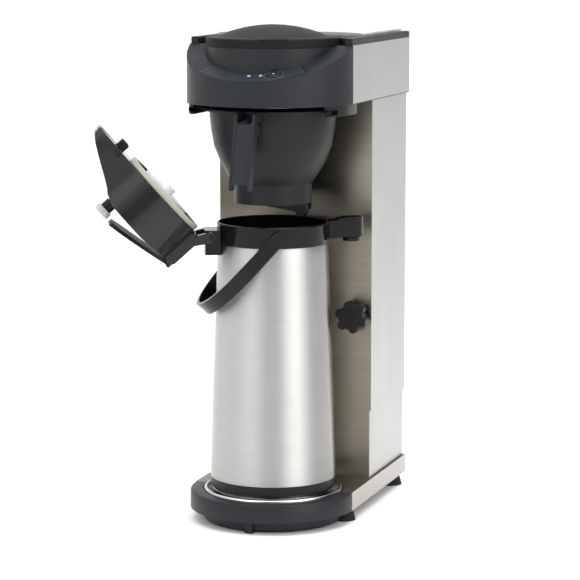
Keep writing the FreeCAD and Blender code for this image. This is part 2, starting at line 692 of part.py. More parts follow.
# drip stop: a lever that swings up under the collar, and the valve it lifts
wire = Part.makePolygon([V3(x, -6, z) for x, z in ((-6, 382.6), (-6, 386.4), (40, 386.4), (43.5, 384.0), (43.5, 376.0), (40, 371.6), (33, 371.6), (30, 377.0), (-6, 382.6))])
lev = cut(raw(Part.Face(wire).extrude(V3(0, 12, 0))), cyl_to(1.6, (40.5, -20, 383.0), (40.5, 20, 383.0)))
node(lev, "drip_stop_lever")
node(fuse(cyl(3.4, 387.0, 409.5), cyl(5.2, 413.0, 414.6), cyl(3.4, 409, 413.5)), "drip_stop_valve")
node(spun([(5.3, 393.5), (6.6, 393.5), (6.6, 405.7), (5.3, 405.7)]), "valve_spring")

# ================================================================ pump pot
# Built with its spout arm along +X, then turned about the brew axis.
YAW = App.Placement(V3(0, 0, 0), App.Rotation(V3(0, 0, 1), D.pot_yaw.v))
LID = YAW.multiply(App.Placement(V3(-D.pin_r.v, 0, D.pin_z.v), App.Rotation(V3(0, -1, 0), D.lid_open.v)))

node(spun([(0, D.pot_low + 4), (66, D.pot_low + 4), (66, D.pot_low), (73.0, D.pot_low), (75.9, D.pot_low + 2.4), (76.0, D.pot_shell_low + 1.2), (74.6, D.pot_shell_low + 1.2),
           (74.6, D.pot_low + 6.5), (0, D.pot_low + 6.5)]), "pot_base_cup", YAW)
node(spun([(74.9, 53.4), (76.2, 53.4), (76.2, 60.0), (73.7, 143.0), (71.5, 204.0), (69.0, 270.0), (66.5, 335.0), (65.8, 338.6), (64.6, 338.6), (65.3, 335.0),
           (67.8, 270.0), (70.3, 204.0), (72.5, 143.0), (74.9, 60.0)]), "pot_shell", YAW)
# liner: double wall, open at the neck
node(spun([(0, 58.0), (60.0, 58.0), (68.0, 66.0), (66.8, 140.0), (64.6, 204.0), (61.0, 280.0), (52.0, 312.0), (41.0, 326.0), (41.0, 334.0), (38.5, 334.0), (38.5, 325.0),
           (49.5, 310.5), (58.5, 279.5), (62.1, 204.0), (64.3, 140.0), (65.4, 67.5), (59.0, 60.5), (0, 60.5)]), "pot_liner", YAW)
# collar with its funnel down to the neck
clr = spun([(D.pot_collar_rad, 338.7), (D.pot_collar_rad, 362.4), (66.8, 363.6), (65.6, D.collar_z), (65.1, 363.4), (64.9, 345.0), (41.0, 337.6), (38.6, 336.4),
            (38.6, 334.1), (41.1, 334.1), (41.1, 331.0), (43.5, 331.0), (43.5, 333.4), (64.4, 338.7)])
hb1 = cut(box(-83.0, -19.5, 326.0, -60.0, 19.5, 355.5), cyl(65.2, 300, 400), cyl(67.1, 300, 338.7), cyl_to(2.9, (-75.5, -40, 348.3), (-75.5, 40, 348.3)))
bosses = [cyl_to(8.5, (0, sg * 62.0, 351.0), (0, sg * 70.6, 351.0)) for sg in (-1, 1)]
bosses = [cut(o, cyl(65.2, 300, 400)) for o in bosses]
cl = cut(fuse(clr, hb1, *bosses), *[cyl_to(3.2, (0, sg * 60, 351.0), (0, sg * 80, 351.0)) for sg in (-1, 1)])
node(cl, "pot_collar", YAW)
node(cyl_to(2.85, (-75.5, -29.5, 348.3), (-75.5, 29.5, 348.3)), "lid_hinge_pin", YAW)
# spout: an open channel out of the collar with the nozzle below its end
wire = Part.makePolygon([V3(x, -11, z) for x, z in ((60, 346.0), (66, 343.0), (82, 344.5), (102, 345.6), (102, 368.8), (80, 367.2), (74, 364.6), (60, 364.2), (60, 346.0))])
arm = raw(Part.Face(wire).extrude(V3(0, 22, 0)))
arm = fuse(arm, common(cyl(14.0, 345.3, 368.8, 95, 0), box(60, -11, 300, 200, 11, 400)))
arm = cut(fuse(arm, cyl(12.0, 345.0, 368.8, 97, 0)), cyl(67.7, 300, 400), box(50, -8.6, 350.0, 99, 8.6, 380), cyl(9.6, 350.0, 380, 97, 0), cyl(4.2, 330, 360, 95, 0))
node(arm, "spout_arm", YAW)
node(cut(fuse(cyl(10.5, 339.6, 343.9, 95, 0), cyl(7.0, 343.5, 344.9, 95, 0)), cyl(4.2, 330, 360, 95, 0)), "spout_nozzle", YAW)
node(tube([(32.0, 0, 342.0), (32.0, 0, 300.0), (8.0, 0, 250.0), (8.0, 0, 64.0)], 30.0, 4.0, 3.0), "dip_tube", YAW)

# ---- pot lid, in its own closed position: s from the hinge pin along +X, height above the pin along +Z
plan = cyl(64.5, 0, 90, 77.0, 0)
wire = Part.makePolygon([V3(x, y, 0) for x, y in ((74, -64.3), (128, -46), (160, -31), (178, -25), (187.5, -17), (187.5, 17), (178, 25), (160, 31), (128, 46), (74, 64.3), (74, -64.3))])
plan = fuse(plan, raw(Part.Face(wire).extrude(V3(0, 0, 90))))
side = Part.makePolygon([V3(x, -90, z) for x, z in ((7.0, 11.0), (7.0, 47.5), (12.0, 53.5), (18.0, 56.6), (60.0, 60.5), (112.0, 60.2), (124.0, 55.0), (129.0, 50.8), (142.0, 44.0),
                                                    (159.3, 35.3), (176.1, 26.1), (184.8, 19.1), (186.2, 9.5), (141.3, 10.5), (7.0, 11.0))])
side = raw(Part.Face(side).extrude(V3(0, 180, 0)))
outer = common(plan, side)
plan2 = cyl(61.9, 0, 90, 77.0, 0)
wire = Part.makePolygon([V3(x, y, 0) for x, y in ((74, -61.7), (126, -43.5), (158, -28.6), (176, -22.6), (184.4, -15.6), (184.4, 15.6), (176, 22.6), (158, 28.6), (126, 43.5), (74, 61.7), (74, -61.7))])
plan2 = fuse(plan2, raw(Part.Face(wire).extrude(V3(0, 0, 90))))
side2 = Part.makePolygon([V3(x, -90, z) for x, z in ((9.6, 5.0), (9.6, 45.5), (14.0, 51.0), (19.0, 53.9), (60.0, 57.8), (110.8, 57.4), (122.2, 52.8), (127.5, 48.6), (140.8, 41.4),
                                                     (158.0, 32.7), (174.4, 23.7), (182.2, 17.6), (183.6, 5.0), (9.6, 5.0))])
side2 = raw(Part.Face(side2).extrude(V3(0, 180, 0)))
strap = rounded(box(6.5, -29.0, 14.0, 26.0, 29.0, 56.4), 3.0, lambda e: edge_dir(e) is not None and abs(edge_dir(e).y) > 0.99 and e.Vertexes[0].X < 7 and e.Vertexes[0].Z > 50)
shell = cut(fuse(outer, strap), common(plan2, side2), cyl(8.0, 55, 75, 60, 0))
lugs = []
for y0_, y1_ in ((-29.9, -27.3), (27.3, 29.9)):
    wire = Part.makePolygon([V3(x, y0_, z) for x, z in ((8.0, 52.0), (8.0, 61.6), (9.6, 63.0), (12.4, 63.0), (13.3, 61.8), (13.3, 58.3), (27.0, 57.2), (27.0, 50.0), (8.0, 52.0))])
    lugs.append(raw(Part.Face(wire).extrude(V3(0, y1_ - y0_, 0))))
shell = cut(fuse(shell, *lugs), common(plan2, side2), cyl_to(1.3, (11.0, -40, 60.6), (11.0, 40, 60.6)))
SCR = [(V3(151.0, sg * 35.22, 14.5), V3(0.4244, sg * 0.9055, 0)) for sg in (-1, 1)]
shell = cut(shell, *[cyl_to(2.0, c - n * 7.0, c + n * 2.0) for c, n in SCR])
ears = []
for y0_, y1_ in ((-29.0, -21.0), (21.0, 29.0)):
    wire = Part.makePolygon([V3(x, y0_, z) for x, z in ((-4.5, -4.5), (5.0, -4.5), (13.0, 11.0), (16.0, 24.0), (7.5, 24.0), (-4.5, 5.0), (-4.5, -4.5))])
    ears.append(raw(Part.Face(wire).extrude(V3(0, y1_ - y0_, 0))))
shell = cut(fuse(shell, *ears), cyl_to(3.15, (0, -40, 0), (0, 40, 0)))
node(shell, "lid_shell", LID)
# underside plate of the lid with the rim for the seal
bpl = common(plan2, box(9.7, -90, 10.4, 182.5, 90, 13.0))
lock_hole = box(143.6, -8.4, 0, 157.4, 8.4, 20)
bpl = cut(fuse(bpl, cut(cyl(52.2, 5.0, 10.8, 74.3, 0), cyl(49.8, 0, 20, 74.3, 0))), lock_hole, cyl(14.0, 0, 20, 74.3, 0))
node(bpl, "lid_base_plate", LID)
node(cut(cyl(56.3, 4.2, 10.3, 74.3, 0), cyl(52.3, 0, 20, 74.3, 0)), "lid_seal_ring", LID)
vd = cut(cyl(34.0, 2.6, 10.3, 74.3, 0), cyl(31.6, 4.2, 12, 74.3, 0))
node(fuse(vd, cyl(6.0, 2.0, 12.5, 74.3, 0), cyl(7.6, -4.2, 2.7, 74.3, 0)), "lid_valve", LID)
bel = move(spun([(0, 13.2), (22, 13.2), (22, 16), (28, 19.5), (22, 23), (28, 26.5), (22, 30), (28, 33.5), (22, 37), (28, 40.5), (22, 44), (22, 48), (0, 48), (0, 46), (20, 46), (20, 44), (25.6, 40.5),
                 (20, 37), (25.6, 33.5), (20, 30), (25.6, 26.5), (20, 23), (25.6, 19.5), (20, 16), (20, 15), (0, 15)]), 60, 0, 0)
node(fuse(bel, cyl(5.6, 47.0, 60.2, 60, 0)), "pump_bellows", LID)
node(group([cut(fuse(cyl_to(4.2, c + n * 0.03, c + n * 1.4), cyl_to(1.9, c - n * 2.6, c + n * 0.2)), cyl_to(2.4, c + n * 0.9, c + n * 2.0)) for c, n in SCR]), "beak_screw", LID)
wire = Part.makePolygon([V3(x, -7.6, z) for x, z in ((144.2, 9.9), (144.2, 1.0), (147.0, -0.5), (156.6, -0.5), (156.6, 9.9), (144.2, 9.9))])
node(fuse(raw(Part.Face(wire).extrude(V3(0, 15.2, 0))), cyl_to(1.5, (150.4, -8.3, 9.6), (150.4, 8.3, 9.6))), "lid_latch", LID)

# pump lever: a wedge on top of the lid
plv = Part.makePolygon([V3(x, y, 50) for x, y in ((7.5, -26), (32, -31), (80, -27), (92.4, -20), (94.6, 0), (92.4, 20), (80, 27), (32, 31), (7.5, 26), (7.5, -26))])
psd = Part.makePolygon([V3(x, -60, z) for x, z in ((7.6, 59.3), (11.3, 61.9), (17.4, 63.2), (60.0, 73.6), (92.4, 80.8), (94.6, 79.4), (94.2, 76.2), (60.0, 69.2), (15.0, 59.3), (7.6, 59.3))])
lv = common(raw(Part.Face(plv).extrude(V3(0, 0, 60))), raw(Part.Face(psd).extrude(V3(0, 120, 0))))
node(fuse(lv, cyl_to(1.15, (11.0, -29.8, 60.6), (11.0, 29.8, 60.6))), "pump_lever", LID)

# lock knob beyond the lever's end
lk = fuse(cyl(10.0, 71.5, 79.8, 107.8, 0), cyl(7.6, 61.0, 72.0, 107.8, 0))
lk = rounded(lk, 1.5, lambda e: e.Curve.TypeId == "Part::GeomCircle" and abs(e.Curve.Radius - 10.0) < 0.01 and e.Curve.Center.z > 79)
node(cut(lk, *[cyl(1.1, 60, 90, 107.8 + 10.5 * math.cos(k * math.pi / 6), 10.5 * math.sin(k * math.pi / 6)) for k in range(12)]), "lock_knob", LID)

# bail: flat in X (away from the pivot) and Y, strap 17 across, then swung down on the hinge side
r_in, th, st, w2 = D.bail_in.v, 4.8, D.bail_straight.v, 8.5
r_o = r_in + th
prof_o = [Part.LineSegment(V3(-6, -r_o, -w2), V3(st, -r_o, -w2)).toShape(), Part.Arc(V3(st, -r_o, -w2), V3(st + r_o, 0, -w2), V3(st, r_o, -w2)).toShape(),
          Part.LineSegment(V3(st, r_o, -w2), V3(-6, r_o, -w2)).toShape(), Part.LineSegment(V3(-6, r_o, -w2), V3(-6, r_in, -w2)).toShape(),
          Part.LineSegment(V3(-6, r_in, -w2), V3(st, r_in, -w2)).toShape(), Part.Arc(V3(st, r_in, -w2), V3(st + r_in, 0, -w2), V3(st, -r_in, -w2)).toShape(),
          Part.LineSegment(V3(st, -r_in, -w2), V3(-6, -r_in, -w2)).toShape(), Part.LineSegment(V3(-6, -r_in, -w2), V3(-6, -r_o, -w2)).toShape()]
bshape = Part.Face(Part.Wire(prof_o)).extrude(V3(0, 0, 2 * w2))
bl = raw(bshape)
ends = [cyl_to(w2, (0, sg * r_in, 0), (0, sg * r_o, 0)) for sg in (-1, 1)]
bl = fuse(cut(bl, box(-20, -100, -20, 0, 100, 20)), *ends)
pins = [cyl_to(3.0, (0, sg * 64.5, 0), (0, sg * (r_in + 0.5), 0)) for sg in (-1, 1)]
ribs = [box(5.0, -r_o - 0.8, z, 49.0, -r_o + 0.5, z + 1.5) for z in (-5.6, -0.75, 4.1)] + [box(5.0, r_o - 0.5, z, 49.0, r_o + 0.8, z + 1.5) for z in (-5.6, -0.75, 4.1)]
BAIL = YAW.multiply(App.Placement(V3(0, 0, D.bail_z.v), App.Rotation(V3(0, 0, 1), 180))).multiply(App.Placement(V3(0, 0, 0), App.Rotation(V3(0, 1, 0), D.bail_drop.v)))
node(fuse(bl, *pins, *ribs), "bail_handle", BAIL)

# ================================================================ checks and export
doc.recompute()
bad = []
for o in doc.Objects:
    if "Invalid" in o.State or "Error" in o.State:
        bad.append("%s (%s): %s" % (o.Name, o.Label, o.State))
for name, o in NODES:
    sh_ = o.Shape
    if sh_.isNull() or not sh_.isValid() or not sh_.Solids:
        bad.append(name + ": null or not valid")
if bad:
    raise RuntimeError("; ".join(bad))
os.makedirs("parts", exist_ok=True)
for f in os.listdir("parts"):
    if f.endswith(".step") and f[:-5] not in [n for n, _ in NODES]:
        os.remove(os.path.join("parts", f))
for name, o in NODES:
    o.Shape.exportStep(os.path.join("parts", name + ".step"))
    bb = o.Shape.BoundBox
    print("%-20s solids %2d vol %9.0f  X %7.1f %7.1f  Y %7.1f %7.1f  Z %6.1f %6.1f" % (name, len(o.Shape.Solids), o.Shape.Volume, bb.XMin, bb.XMax, bb.YMin, bb.YMax, bb.ZMin, bb.ZMax))
print(len(NODES), "nodes")
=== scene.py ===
import bpy, bmesh, math
from mathutils import Vector, Matrix


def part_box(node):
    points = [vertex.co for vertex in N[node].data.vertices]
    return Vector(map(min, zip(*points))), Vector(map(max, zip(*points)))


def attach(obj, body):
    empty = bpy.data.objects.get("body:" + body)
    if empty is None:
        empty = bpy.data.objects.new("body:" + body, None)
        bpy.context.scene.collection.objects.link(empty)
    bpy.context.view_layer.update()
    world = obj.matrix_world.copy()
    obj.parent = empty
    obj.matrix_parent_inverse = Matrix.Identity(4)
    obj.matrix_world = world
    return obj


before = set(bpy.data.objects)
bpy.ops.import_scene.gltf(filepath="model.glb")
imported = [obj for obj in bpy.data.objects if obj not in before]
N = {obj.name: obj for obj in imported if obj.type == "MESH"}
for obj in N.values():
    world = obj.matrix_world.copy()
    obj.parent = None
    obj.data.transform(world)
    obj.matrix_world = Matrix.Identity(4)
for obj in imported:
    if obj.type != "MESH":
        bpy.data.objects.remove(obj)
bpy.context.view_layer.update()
scene = bpy.context.scene
rad = math.radians
MM = 0.001


# ------------------------------------------------------------------ mesh helpers
def mesh_obj(name, verts, faces, smooth=35):
    me = bpy.data.meshes.new(name)
    me.from_pydata([tuple(v) for v in verts], [], faces)
    me.validate()
    bm = bmesh.new()
    bm.from_mesh(me)
    bmesh.ops.remove_doubles(bm, verts=bm.verts, dist=2e-6)
    bmesh.ops.dissolve_degenerate(bm, edges=bm.edges, dist=1e-6)
    bmesh.ops.recalc_face_normals(bm, faces=bm.faces)
    bm.to_mesh(me)
    bm.free()
    me.polygons.foreach_set("use_smooth", [True] * len(me.polygons))
    if smooth is not None:
        me.set_sharp_from_angle(angle=rad(smooth))
    ob = bpy.data.objects.new(name, me)
    scene.collection.objects.link(ob)
    return ob


def grid_faces(rows, cols, wrap_r, wrap_c):
    out = []
    for i in range(rows if wrap_r else rows - 1):
        for j in range(cols if wrap_c else cols - 1):
            a, b = i * cols + j, i * cols + (j + 1) % cols
            c, d = ((i + 1) % rows) * cols + (j + 1) % cols, ((i + 1) % rows) * cols + j
            out.append((a, b, c, d))
    return out


def fillet(pts, closed=True, n=5):
    """pts: (x, y, r). Rounds each corner with radius r and returns plain points."""
    out = []
    m = len(pts)
    for i, p in enumerate(pts):
        r = p[2] if len(p) > 2 else 0
        if r <= 0 or (not closed and i in (0, m - 1)):
            out.append((p[0], p[1]))
            continue
        a = Vector(pts[i - 1][:2]) - Vector(p[:2])
        b = Vector(pts[(i + 1) % m][:2]) - Vector(p[:2])
        la, lb = a.length, b.length
        a, b = a / la, b / lb
        ang = math.acos(max(-1, min(1, a.dot(b))))
        if ang > math.pi - 0.02:
            out.append((p[0], p[1]))
            continue
        t = min(r / math.tan(ang / 2), la * 0.49, lb * 0.49)
        rr = t * math.tan(ang / 2)
        bis = (a + b).normalized()
        cen = Vector(p[:2]) + bis * (rr / math.sin(ang / 2))
        s, e = Vector(p[:2]) + a * t, Vector(p[:2]) + b * t
        a0 = math.atan2(s.y - cen.y, s.x - cen.x)
        a1 = math.atan2(e.y - cen.y, e.x - cen.x)
        d = (a1 - a0 + math.pi) % (2 * math.pi) - math.pi
        for k in range(n + 1):
            q = a0 + d * k / n
            out.append((cen.x + rr * math.cos(q), cen.y + rr * math.sin(q)))
    return out


def spline(pts, n=6):
    """Catmull-Rom through the points."""
    out = []
    P = [Vector(p) for p in pts]
    P = [2 * P[0] - P[1]] + P + [2 * P[-1] - P[-2]]
    for i in range(1, len(P) - 2):
        for k in range(n):
            t = k / n
            out.append(0.5 * ((2 * P[i]) + (P[i + 1] - P[i - 1]) * t + (2 * P[i - 1] - 5 * P[i] + 4 * P[i + 1] - P[i + 2]) * t * t
                              + (3 * P[i] - P[i - 1] - 3 * P[i + 1] + P[i + 2]) * t ** 3))
    out.append(P[-2])
    return [tuple(v) for v in out]


def lathe(name, profile, segs=160, centre=(0, 0), a0=0.0, a1=360.0, closed=True, smooth=35):
    """profile: (radius mm, height mm) points. Full turn, or a wedge with its ends closed."""
    full = abs(a1 - a0 - 360) < 1e-6
    cols = segs if full else segs + 1
    V = []
    for r, z in profile:
        for k in range(cols):
            a = rad(a0 + (a1 - a0) * k / segs)
            V.append(((centre[0] + r * math.cos(a)) * MM, (centre[1] + r * math.sin(a)) * MM, z * MM))
    F = grid_faces(len(profile), cols, closed, full)
    if not full:
        F.append(tuple(i * cols for i in range(len(profile))))
        F.append(tuple(reversed([i * cols + cols - 1 for i in range(len(profile))])))
    return mesh_obj(name, V, F, smooth)


def loft(name, rings, cap=True, smooth=35, xf=None):
    """rings: lists of equal length of 3-D points in mm, each a closed ring."""
    n = len(rings[0])
    V = [Vector(p) * MM for r in rings for p in r]
    F = grid_faces(len(rings), n, False, True)
    if cap:
        F.append(tuple(range(n)))
        F.append(tuple(reversed(range((len(rings) - 1) * n, len(rings) * n))))
    if xf is not None:
        V = [xf @ v for v in V]
    return mesh_obj(name, V, F, smooth)


def prism(name, outline, z0, z1, bevel=0.0, xf=None, smooth=35):
    """Upright prism of an outline (mm), with rounded top and bottom edges."""
    def inset(d):
        m = len(outline)
        res = []
        area = sum(outline[i - 1][0] * outline[i][1] - outline[i][0] * outline[i - 1][1] for i in range(m))
        sg = 1 if area > 0 else -1
        for i, p in enumerate(outline):
            a, b, c = Vector(outline[i - 1]), Vector(p), Vector(outline[(i + 1) % m])
            u, w = (b - a), (c - b)
            if u.length < 1e-9 or w.length < 1e-9:
                res.append(tuple(b)); continue
            u.normalize(); w.normalize()
            nn = Vector((-u.y - w.y, u.x + w.x)) * sg
            if nn.length < 1e-9:
                res.append(tuple(b)); continue
            nn.normalize()
            k = max(0.35, nn.dot(Vector((-u.y, u.x)) * sg))
            res.append(tuple(b + nn * (d / k)))
        return res
    rings = []
    if bevel > 0:
        for k in range(4):
            q = rad(30 * k)
            o = inset(bevel * (1 - math.sin(q)))
            rings.append([(x, y, z0 + bevel * (1 - math.cos(q))) for x, y in o])
        for k in range(4):
            q = rad(30 * k)
            o = inset(bevel * (1 - math.cos(q)))
            rings.append([(x, y, z1 - bevel * (1 - math.sin(q))) for x, y in o])
    else:
        rings = [[(x, y, z0) for x, y in outline], [(x, y, z1) for x, y in outline]]
    return loft(name, rings, True, smooth, xf)


def join(name, obs):
    bpy.ops.object.select_all(action="DESELECT")
    for o in obs:
        o.select_set(True)
    bpy.context.view_layer.objects.active = obs[0]
    bpy.ops.object.join()
    obs[0].name = name
    return obs[0]


def give(ob, mat, *more):
    ob.data.materials.clear()
    for m in (mat,) + more:
        ob.data.materials.append(m)
    return ob


# ------------------------------------------------------------------ materials
def mat(name, color, rough=0.5, metal=0.0, **kw):
    m = bpy.data.materials.new(name)
    m.use_nodes = True
    nt = m.node_tree
    b = nt.nodes["Principled BSDF"]
    b.inputs["Base Color"].default_value = (*color, 1)
    b.inputs["Roughness"].default_value = rough
    b.inputs["Metallic"].default_value = metal
    for k, v in kw.items():
        b.inputs[k.replace("_", " ")].default_value = v
    return m, nt, b


def coords(nt, scale=(1, 1, 1), polar=False):
    tc = nt.nodes.new("ShaderNodeTexCoord")
    out = tc.outputs["Object"]
    if polar:
        sep = nt.nodes.new("ShaderNodeSeparateXYZ")
        nt.links.new(out, sep.inputs[0])
        at = nt.nodes.new("ShaderNodeMath"); at.operation = "ARCTAN2"
        nt.links.new(sep.outputs[1], at.inputs[0]); nt.links.new(sep.outputs[0], at.inputs[1])
        cb = nt.nodes.new("ShaderNodeCombineXYZ")
        nt.links.new(at.outputs[0], cb.inputs[0]); nt.links.new(sep.outputs[2], cb.inputs[2])
        out = cb.outputs[0]
    mp = nt.nodes.new("ShaderNodeMapping")
    mp.inputs["Scale"].default_value = scale
    nt.links.new(out, mp.inputs[0])
    return mp.outputs[0]


def noise(nt, vec, scale, detail=3.0, rough=0.5):
    n = nt.nodes.new("ShaderNodeTexNoise")
    n.inputs["Scale"].default_value = scale
    n.inputs["Detail"].default_value = detail
    n.inputs["Roughness"].default_value = rough
    nt.links.new(vec, n.inputs["Vector"])
    return n.outputs["Fac"]


def ramp(nt, fac, stops):
    r = nt.nodes.new("ShaderNodeValToRGB")
    while len(r.color_ramp.elements) < len(stops):
        r.color_ramp.elements.new(0.5)
    for e, (p, c) in zip(r.color_ramp.elements, stops):
        e.position = p
        e.color = (*c, 1) if len(c) == 3 else c
    nt.links.new(fac, r.inputs[0])
    return r.outputs[0]


def spread(nt, fac, lo, hi):
    m = nt.nodes.new("ShaderNodeMapRange")
    m.inputs["From Min"].default_value = 0.3
    m.inputs["From Max"].default_value = 0.7
    m.inputs["To Min"].default_value = lo
    m.inputs["To Max"].default_value = hi
    nt.links.new(fac, m.inputs[0])
    return m.outputs[0]


def bump(nt, b, fac, dist, strength=1.0, prev=None, edge=0.0008):
    n = nt.nodes.new("ShaderNodeBump")
    if prev is None:
        bv = nt.nodes.new("ShaderNodeBevel")
        bv.samples = 4
        bv.inputs["Radius"].default_value = edge
        prev = bv.outputs[0]
    n.inputs["Distance"].default_value = dist
    n.inputs["Strength"].default_value = strength
    nt.links.new(fac, n.inputs["Height"])
    if prev is not None:
        nt.links.new(prev, n.inputs["Normal"])
    nt.links.new(n.outputs[0], b.inputs["Normal"])
    return n.outputs[0]


def plastic(name, dark, light, rough, grain=1400.0, depth=0.00003, gloss_var=0.05, coat=0.0, spec=0.5, edge=0.0009, **kw):
    """Moulded plastic: slight mottling, fine spark-eroded grain, roughness that varies with handling."""
    m, nt, b = mat(name, dark, rough, **kw)
    o = coords(nt)
    big = noise(nt, o, 14, 3)
    nt.links.new(ramp(nt, big, [(0.3, dark), (0.7, light)]), b.inputs["Base Color"])
    nt.links.new(spread(nt, noise(nt, o, 38, 4), rough - gloss_var, rough + gloss_var), b.inputs["Roughness"])
    bump(nt, b, noise(nt, o, grain, 2), depth, 0.6, edge=edge)
    b.inputs["Specular IOR Level"].default_value = spec
    if coat:
        b.inputs["Coat Weight"].default_value = coat
        b.inputs["Coat Roughness"].default_value = 0.05
    return m


def steel(name, dark, light, rough, axis="Z", aniso=0.0, polar=False, brush=1.0, rvar=0.05, edge=0.0005, **kw):
    """Brushed stainless: fine hair lines along one direction, faint cloudy tint, bump from the lines."""
    m, nt, b = mat(name, dark, rough, 1.0, **kw)
    fine = {"X": (4, 1100, 1100), "Y": (1100, 4, 1100), "Z": (1100, 1100, 4), "T": (5, 1, 1100)}[axis]
    mid = {"X": (1.5, 420, 420), "Y": (420, 1.5, 420), "Z": (420, 420, 1.5), "T": (1.5, 1, 420)}[axis]
    o1, o2, o3 = coords(nt, fine, polar), coords(nt, mid, polar), coords(nt)
    n1, n2, n3 = noise(nt, o1, 1, 3), noise(nt, o2, 1, 4), noise(nt, o3, 9, 3)
    mix = nt.nodes.new("ShaderNodeMath"); mix.operation = "MULTIPLY_ADD"
    nt.links.new(n2, mix.inputs[0]); mix.inputs[1].default_value = 0.5
    half = nt.nodes.new("ShaderNodeMath"); half.operation = "MULTIPLY"; half.inputs[1].default_value = 0.5
    nt.links.new(n3, half.inputs[0]); nt.links.new(half.outputs[0], mix.inputs[2])
    nt.links.new(ramp(nt, mix.outputs[0], [(0.35, dark), (0.65, light)]), b.inputs["Base Color"])
    nt.links.new(spread(nt, n1, rough - rvar, rough + rvar), b.inputs["Roughness"])
    bump(nt, b, n1, 0.000004 * brush, 0.35, edge=edge)
    b.inputs["Anisotropic"].default_value = aniso
    if aniso:
        t = nt.nodes.new("ShaderNodeTangent")
        t.direction_type = "RADIAL"; t.axis = "Z"
        nt.links.new(t.outputs[0], b.inputs["Tangent"])
        b.inputs["Anisotropic Rotation"].default_value = 0.25
    return m


M_CHAR = plastic("charcoal_plastic", (0.0135, 0.0145, 0.017), (0.0175, 0.019, 0.022), 0.40, 1500, 0.00004, spec=0.22)
M_LIDTOP = plastic("tank_lid_plastic", (0.0115, 0.0120, 0.0130), (0.0155, 0.016, 0.0175), 0.48, 1500, 0.00004, spec=0.06)
M_BAND = plastic("band_plastic", (0.0150, 0.0170, 0.0205), (0.021, 0.0235, 0.028), 0.52, 900, 0.00006, spec=0.07)
M_BASK = plastic("basket_plastic", (0.0125, 0.013, 0.0145), (0.0165, 0.017, 0.0185), 0.38, 1500, 0.00003, spec=0.16)
M_BLACK = plastic("black_satin_plastic", (0.007, 0.007, 0.008), (0.011, 0.011, 0.012), 0.36, 1300, 0.00003, spec=0.22)
M_GLOSS = plastic("black_gloss_plastic", (0.003, 0.003, 0.0035), (0.0055, 0.0055, 0.006), 0.13, 500, 0.000006, 0.03, coat=0.03, spec=0.22)
M_LIDPL = plastic("pot_lid_plastic", (0.012, 0.012, 0.0135), (0.016, 0.016, 0.018), 0.16, 600, 0.00001, 0.03, coat=0.05, spec=0.30)
M_RUB = plastic("black_rubber", (0.008, 0.008, 0.008), (0.014, 0.014, 0.014), 0.72, 900, 0.00006, spec=0.25)
M_SEAL = plastic("grey_silicone", (0.40, 0.385, 0.33), (0.48, 0.465, 0.40), 0.45, 600, 0.00002)
M_WHITE = plastic("white_plastic", (0.66, 0.66, 0.64), (0.74, 0.74, 0.72), 0.35, 700, 0.00002)
M_MILK = plastic("natural_plastic", (0.62, 0.61, 0.56), (0.72, 0.70, 0.64), 0.42, 700, 0.00002)
M_SILV = plastic("silver_plastic", (0.42, 0.43, 0.46), (0.62, 0.64, 0.68), 0.15, 300, 0.00002, coat=0.8)
M_HOSE = plastic("silicone_hose", (0.70, 0.68, 0.62), (0.78, 0.76, 0.70), 0.4, 700, 0.00002)
M_PCB = plastic("circuit_board", (0.02, 0.12, 0.04), (0.03, 0.16, 0.06), 0.4, 500, 0.00003)
M_LINE = plastic("line_print", (0.075, 0.08, 0.088), (0.10, 0.105, 0.115), 0.4, 400, 0.00001)
M_LENS = plastic("lamp_lens", (0.30, 0.32, 0.34), (0.42, 0.44, 0.46), 0.3, 400, 0.00001)
M_INK = plastic("icon_ink", (0.45, 0.48, 0.50), (0.58, 0.60, 0.62), 0.5, 900, 0.00001)
M_PANEL = plastic("control_film", (0.0165, 0.0195, 0.025), (0.027, 0.031, 0.038), 0.52, 520, 0.00012, spec=0.07)
M_SIDE = steel("side_steel", (0.505, 0.505, 0.50), (0.550, 0.550, 0.545), 0.45, "Z")
# painted shade and reflection: the column front's steel is darker and warmer than the side steel, standing in for the
# head's shadow and the dark studio it reflects
M_FRONT_SHADED = steel("front_steel_painted_shade", (0.300, 0.273, 0.225), (0.350, 0.320, 0.268), 0.34, "X", 0.6)
# painted shade and reflection: a darker, browner copy of the foot steel for the base housing's upward faces
M_BASE_TOP_SHADE = steel("foot_top_steel_painted_shade", (0.20, 0.178, 0.145), (0.25, 0.225, 0.188), 0.36, "X")
M_FOOT = steel("foot_steel", (0.43, 0.415, 0.385), (0.50, 0.485, 0.455), 0.38, "X")
M_POT = steel("pot_steel", (0.435, 0.432, 0.423), (0.480, 0.477, 0.468), 0.38, "T", 0.9, True)
M_POL = steel("polished_steel", (0.66, 0.66, 0.65), (0.76, 0.76, 0.75), 0.20, "T", 0.0, True)
M_TOP = steel("top_steel", (0.80, 0.80, 0.79), (0.86, 0.86, 0.85), 0.30, "Y")
M_ZINC = steel("zinc", (0.50, 0.50, 0.50), (0.62, 0.62, 0.61), 0.3, "Z")
M_ALU = steel("aluminium", (0.55, 0.55, 0.55), (0.66, 0.66, 0.66), 0.45, "X")

